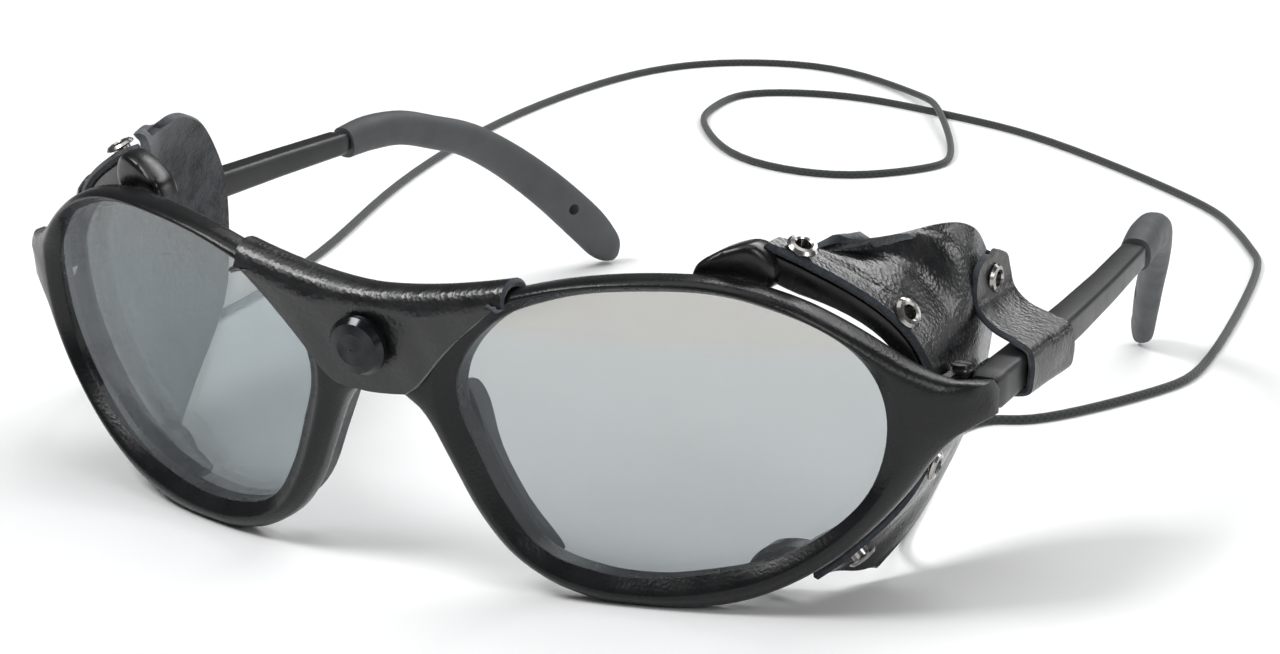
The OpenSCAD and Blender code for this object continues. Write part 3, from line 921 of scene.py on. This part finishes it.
# The bar's faces: x or z at each y
BAR_OUTER = [(27.35, 73.2), (45, 72.4), (60, 71.2), (75, 69.6), (91.5, 67.5)]
BAR_INNER = [(27.35, 69.0), (31, 68.9), (33, 68.55), (45, 68), (60, 67.1), (75, 65.8), (91.5, 63.8)]
BAR_UPPER = [(27.2, 31.1), (60, 31.4), (91.5, 31.5)]
BAR_LOWER = [(27.2, 26.4), (40, 26.9), (60, 27.4), (91.5, 28.2)]
BAR_START = 27.35
BAR_END = 91.5
BAR_STEPS = 44
BAR_CORNER = 0.75
BAR_END_BEVEL = 0.35
# Outer face of the strap, from the upper eyelet over the bar and under it to the lower eyelet,
# and half of its width there
STRAP_PATH = [
    (64.2, 45.2, 41.2, 0.9), (64.2, 45.3, 40.8, 2.9), (64.2, 45.3, 39.8, 4.6), (64.25, 45.3, 37.8, 5.4),
    (64.9, 45, 35.6, 5.6), (67.3, 44.4, 33.8, 5.8), (70.8, 43.7, 32.8, 6.1), (73.2, 43.1, 32.0, 6.4),
    (73.85, 43, 30.2, 6.5), (73.8, 43, 28, 6.5), (73.3, 43, 26.2, 6.4), (71, 43.2, 25.4, 6.2),
    (67.8, 44.2, 24.9, 5.6), (65.1, 45.6, 24, 4.8), (64.25, 46.6, 22, 4.2), (64.2, 46.8, 20.4, 3.4),
    (64.2, 46.8, 19.4, 1),
]
STRAP_STEPS = 4
STRAP_COLUMNS = 8
STRAP_THICK = 0.9


def level(table, y):
    """The value of a table at y, straight between its points."""
    for (y0, v0), (y1, v1) in zip(table, table[1:]):
        if y <= y1:
            return mix(v0, v1, max(0, (y - y0) / (y1 - y0)))
    return table[-1][1]


def bar_rings():
    rings = []
    r = BAR_CORNER
    for i in range(BAR_STEPS + 1):
        y = mix(BAR_START, BAR_END, i / BAR_STEPS)
        shrink = BAR_END_BEVEL if i in (0, BAR_STEPS) else 0
        x1, x0 = level(BAR_OUTER, y) - shrink, level(BAR_INNER, y) + shrink
        z1, z0 = level(BAR_UPPER, y) - shrink, level(BAR_LOWER, y) + shrink
        corners = ((x1 - r, z1 - r, 0), (x0 + r, z1 - r, 90), (x0 + r, z0 + r, 180), (x1 - r, z0 + r, 270))
        ring = []
        for cx, cz, start in corners:
            for k in range(5):
                a = math.radians(start + 22.5 * k)
                ring.append(at(cx + r * math.cos(a), y, cz + r * math.sin(a)))
        rings.append(ring)
    return rings


def strap_grid():
    """The outer face of the strap, slightly curled and wavy."""
    line = smooth(STRAP_PATH, STRAP_STEPS)
    rows = []
    for i, q in enumerate(line):
        row = []
        for j in range(-STRAP_COLUMNS, STRAP_COLUMNS + 1):
            u = j / STRAP_COLUMNS
            curl = 0.18 * u * u * math.sin(math.pi * i / (len(line) - 1)) + 0.08 * math.sin(5 * u + 0.6 * i)
            row.append(Vector((q[0] + curl * 0.4, q[1] + q[3] * u, q[2])))
        rows.append(row)
    return rows


def tip_rings():
    path = smooth(TIP_PATH, 5)
    rings = []
    for i, (p, size) in enumerate(zip(path, smooth(TIP_SIZES, 5))):
        heading = (path[min(i + 1, len(path) - 1)] - path[max(i - 1, 0)]).normalized()
        side = heading.cross(Vector((0, 0, 1))).normalized()
        up = side.cross(heading)
        ring = []
        for k in range(TIP_SIDES):
            a = 2 * math.pi * (k + 0.5) / TIP_SIDES
            c, s = (math.copysign(abs(v) ** TIP_SQUARENESS, v) for v in (math.cos(a), math.sin(a)))
            ring.append(at(*(p + side * (size.x / 2) * c + up * (size.y / 2) * s)))
        rings.append(ring)
    return rings


def drill(obj, centre, radius):
    """Bores a round hole across a piece, along x."""
    bpy.ops.object.select_all(action="DESELECT")
    bpy.ops.mesh.primitive_cylinder_add(vertices=24, radius=radius / 1000, depth=0.03, location=centre,
                                        rotation=(0, math.pi / 2, 0))
    cutter = bpy.context.active_object
    mod = obj.modifiers.new("hole", "BOOLEAN")
    mod.operation = "DIFFERENCE"
    mod.solver = "EXACT"
    mod.object = cutter
    apply_all(obj)
    bpy.data.objects.remove(cutter, do_unlink=True)


class GLASSES_OT_temples(bpy.types.Operator):
    """Make the temple bars, their rubber tips and the leather straps round them"""
    bl_idname = "glasses.temples"
    bl_label = "Temples"

    def execute(self, context):
        rubber = finish_of(soft_rubber, "tip_rubber", (0.062, 0.066, 0.07), (0.078, 0.083, 0.087))
        tips = both_sides("tip_sleeve", *loft(tip_rings()), rubber, 50)
        bars = both_sides("temple_arm", *loft(bar_rings()), finish_of(temple_black), 50)
        hide = finish_of(grained_leather, "strap_leather", (0.004, 0.0042, 0.005), 0.27)
        for (name, side), tip, bar in zip(SIDES, tips, bars):
            drill(tip, at(side * 51.3, 135, 10.6), 0.9)
            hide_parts("temple_tip_" + name)
            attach(tip, "temple_" + name)
            strap = sheet_piece("strap_leather_" + name, strap_grid(), STRAP_THICK,
                                Vector((66, 43.5, 29)), hide, name == "right")
            for piece, node, slot in ((bar, "temple_bar_", "temple"), (strap, "strap_", "strap_leather")):
                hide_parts(node + name)
                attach(piece, "temple_" + name)
        return {"FINISHED"}


# ---- Cord ----

CORD_D = 1.3
# Height of the cord's middle line where it lies on the table
LIE = REST_Z + CORD_D / 2 + 0.05
# Rounds of averaging that take the last kinks out of the route
CORD_EASINGS = 5
KNOT_THREAD = 0.00095
KNOT_STEPS = 40
CORD_ROUTE = [
    (64.8, 26.6, 18.4), (62.2, 26.3, 19.1), (60.2, 26.4, 19.4), (58.8, 27.8, 17), (57.2, 30.8, 11.5),
    (55.2, 34.4, 5.8), (53.6, 39.4, LIE + 1.9), (51.7, 46, LIE + 0.3), (48.5, 59, LIE), (44, 74, LIE),
    (40, 86, LIE), (42, 96, LIE), (49, 100, LIE), (59, 121, LIE), (60.5, 137.5, LIE), (50.5, 187.5, LIE),
    (44.5, 200.5, LIE), (37.5, 211.5, LIE), (25.5, 225.5, LIE), (-14.5, 253.5, LIE), (-39, 262.5, LIE),
    (-63, 267.5, LIE), (-81, 260.5, LIE), (-82, 247, LIE), (-77.5, 233.5, LIE), (-59.5, 213.5, LIE),
    (-38.5, 210.5, LIE), (-26, 223.5, LIE), (-26, 235, LIE + 0.1), (-40, 259.5, LIE + 1.7),
    (-51, 273.5, LIE + 0.4), (-76.5, 288, LIE), (-99, 281, LIE), (-110.5, 259.5, LIE), (-112.5, 216, LIE),
    (-104.5, 167, LIE), (-91.5, 123, LIE), (-85.5, 86, LIE), (-86.5, 70, LIE), (-84.5, 57, LIE + 0.4),
    (-80, 44, 3.8), (-72.4, 31, 13), (-68.2, 27.4, 17.4), (-66, 26.7, 18),
]


def cord_mesh(name, points, diameter, sides=12):
    """A closed tube along the points with a UV map: u is metres along, v is once round."""
    verts = []
    run = [0.0]
    for a, b in zip(points, points[1:]):
        run.append(run[-1] + (b - a).length)
    side = None
    for i, p in enumerate(points):
        heading = (points[min(i + 1, len(points) - 1)] - points[max(i - 1, 0)]).normalized()
        if side is None:
            side = heading.cross(Vector((0, 0, 1))).normalized()
        else:
            side = (side - heading * side.dot(heading)).normalized()
        lift = side.cross(heading)
        for k in range(sides):
            a = 2 * math.pi * k / sides
            verts.append(p + (side * math.cos(a) + lift * math.sin(a)) * diameter / 2)
    faces = []
    for i in range(len(points) - 1):
        this, following = i * sides, (i + 1) * sides
        for k in range(sides):
            m = (k + 1) % sides
            faces.append((this + k, following + k, following + m, this + m))
    wall = len(faces)
    faces.append(tuple(range(sides)))
    faces.append(tuple(range(len(points) * sides - 1, (len(points) - 1) * sides - 1, -1)))
    obj = add_mesh(name, verts, faces)
    uv = obj.data.uv_layers.new(name="UVMap")
    for f, poly in enumerate(obj.data.polygons):
        poly.use_smooth = True
        i, k = divmod(f, sides)
        for corner, loop in enumerate(poly.loop_indices):
            if f < wall:
                uv.data[loop].uv = (run[i + (corner in (1, 2))], (k + (corner in (2, 3))) / sides)
            else:
                uv.data[loop].uv = (0, 0)
    obj.data.materials.append(finish_of(braided_cord))
    turn_out(obj)
    return obj


def turn_out(obj):
    """Turns a closed piece the right way out."""
    bm = bmesh.new()
    bm.from_mesh(obj.data)
    if bm.calc_volume(signed=True) < 0:
        bmesh.ops.reverse_faces(bm, faces=bm.faces)
        bm.to_mesh(obj.data)
    bm.free()


def stopper_knot(name, centre, side):
    """A small knot of one and a half turns, pulled tighter than the cord itself."""
    points = []
    for i in range(KNOT_STEPS + 1):
        a = 2 * math.pi * i / KNOT_STEPS * 1.5 + 0.4
        r = 0.42 + 0.16 * math.cos(2 * a)
        x = side * 0.36 * math.sin(1.5 * a)
        points.append(centre + Vector((x, r * math.cos(a), r * math.sin(a))) / 1000)
    return cord_mesh(name, points, KNOT_THREAD, 10)


class GLASSES_OT_cord(bpy.types.Operator):
    """Lay the retainer cord on the table, with a stopper knot at each end"""
    bl_idname = "glasses.cord"
    bl_label = "Cord"

    def execute(self, context):
        points = [at(*p) for p in smooth(CORD_ROUTE, 6)]
        for _ in range(CORD_EASINGS):
            eased = [(a + b * 2 + c) / 4 for a, b, c in zip(points, points[1:], points[2:])]
            points = [points[0], *eased, points[-1]]
        cord = cord_mesh("retainer_cord", points, context.scene.glasses_cord.diameter)
        knots = [stopper_knot("cord_knot_" + name, at(side * 64.9, 26.6, 18.4), side)
                 for name, side in SIDES]
        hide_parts("cord")
        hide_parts("cord_knots")
        for piece in [cord] + knots:
            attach(piece, "front")
        return {"FINISHED"}


# ---- Stage ----

# Each softbox: place, share of the key light's power, width and height, in metres
LIGHTS = [
    ("key", (-0.5, -0.55, 1.0), 1.0, 0.5, 0.35),
    ("side", (0.95, -0.35, 0.6), 0.42, 0.3, 0.6),
    ("back", (0.15, 0.95, 0.85), 0.8, 1.1, 0.35),
    ("glint", (0.8, 0.85, 0.33), 0.14, 0.45, 0.22),
    ("top", (0, 0, 1.6), 0.85, 1.4, 1.2),
]
LIGHT_TARGET = Vector((0, 0, 0.02))
TABLE_SIZE = 8
CAMERA_SENSOR = 36
CAMERA_LENS = 103.987
CAMERA_PLACE = Vector((0.24395, -0.44410, 0.17141))
CAMERA_TARGET = Vector((0.0114, -0.02214, 0.02328))


def aim(obj, place, target):
    """Puts a lamp or the camera at a place, looking at the target."""
    obj.location = place
    obj.rotation_euler = (target - Vector(place)).to_track_quat("-Z", "Y").to_euler()
    bpy.context.collection.objects.link(obj)


class GLASSES_OT_stage(bpy.types.Operator):
    """Set the table, the soft lights and the camera"""
    bl_idname = "glasses.stage"
    bl_label = "Stage"

    def execute(self, context):
        scene = context.scene
        view = scene.glasses_stage
        bpy.ops.object.select_all(action="DESELECT")
        bpy.ops.mesh.primitive_plane_add(size=TABLE_SIZE, location=(0, 0, 0))
        table = context.active_object
        table.name = "table_top"
        table.data.materials.append(finish_of(table_white))
        world = bpy.data.worlds.new("studio")
        scene.world = world
        world.use_nodes = True
        background = world.node_tree.nodes["Background"]
        background.inputs["Color"].default_value = (1, 1, 1, 1)
        background.inputs["Strength"].default_value = view.room_light
        for name, place, share, width, height in LIGHTS:
            light = bpy.data.lights.new(name, "AREA")
            light.shape = "RECTANGLE"
            light.size = width
            light.size_y = height
            light.energy = view.key_light * share
            aim(bpy.data.objects.new(name, light), place, LIGHT_TARGET)
        camera = bpy.data.cameras.new("camera")
        camera.sensor_width = CAMERA_SENSOR
        camera.lens = CAMERA_LENS
        camera.clip_start = 0.01
        camera.clip_end = 20
        eye = bpy.data.objects.new("camera", camera)
        aim(eye, CAMERA_PLACE, CAMERA_TARGET)
        scene.camera = eye
        scene.view_settings.view_transform = "Standard"
        return {"FINISHED"}


# ---- Settings, panel and registration ----


class LeatherSettings(bpy.types.PropertyGroup):
    colour: FloatVectorProperty(name="Leather", description="Colour of the shield leather", subtype="COLOR",
                                size=3, min=0, max=1, default=(0.005, 0.0054, 0.0062))
    gloss: FloatProperty(name="Gloss", description="Roughness of the leather's finish", min=0.15, max=0.8,
                         default=0.24, subtype="FACTOR")


class CordSettings(bpy.types.PropertyGroup):
    diameter: FloatProperty(name="Diameter", description="Diameter of the retainer cord", min=0.001,
                            max=0.002, default=CORD_D / 1000, unit="LENGTH", precision=4)


class StageSettings(bpy.types.PropertyGroup):
    room_light: FloatProperty(name="Room light", description="Strength of the light from all round", min=0,
                              max=3, default=0.12)
    key_light: FloatProperty(name="Key light", description="Power of the main soft light", min=0, max=200,
                             default=9.5, subtype="POWER")


OPERATORS = [
    GLASSES_OT_stage, GLASSES_OT_cord, GLASSES_OT_front, GLASSES_OT_lenses, GLASSES_OT_nose_pads,
    GLASSES_OT_bridge, GLASSES_OT_carriers, GLASSES_OT_shields, GLASSES_OT_temples,
]
SETTINGS = {
    "glasses_leather": LeatherSettings, "glasses_cord": CordSettings, "glasses_stage": StageSettings,
}


class GLASSES_PT_panel(bpy.types.Panel):
    bl_idname = "GLASSES_PT_panel"
    bl_label = "Glacier glasses"
    bl_space_type = "VIEW_3D"
    bl_region_type = "UI"
    bl_category = "Glasses"

    def draw(self, context):
        for name, group in SETTINGS.items():
            for key in group.__annotations__:
                self.layout.prop(getattr(context.scene, name), key)
        for op in OPERATORS:
            self.layout.operator(op.bl_idname)


def register():
    for cls in [*SETTINGS.values(), *OPERATORS, GLASSES_PT_panel]:
        bpy.utils.register_class(cls)
    for name, group in SETTINGS.items():
        setattr(bpy.types.Scene, name, bpy.props.PointerProperty(type=group))


def unregister():
    for name in SETTINGS:
        delattr(bpy.types.Scene, name)
    for cls in reversed([*SETTINGS.values(), *OPERATORS, GLASSES_PT_panel]):
        bpy.utils.unregister_class(cls)


def main():
    register()
    for op in OPERATORS:
        group, name = op.bl_idname.split(".")
        if getattr(getattr(bpy.ops, group), name)() != {"FINISHED"}:
            raise RuntimeError(op.bl_label + " was not made")


if __name__ == "__main__":
    main()
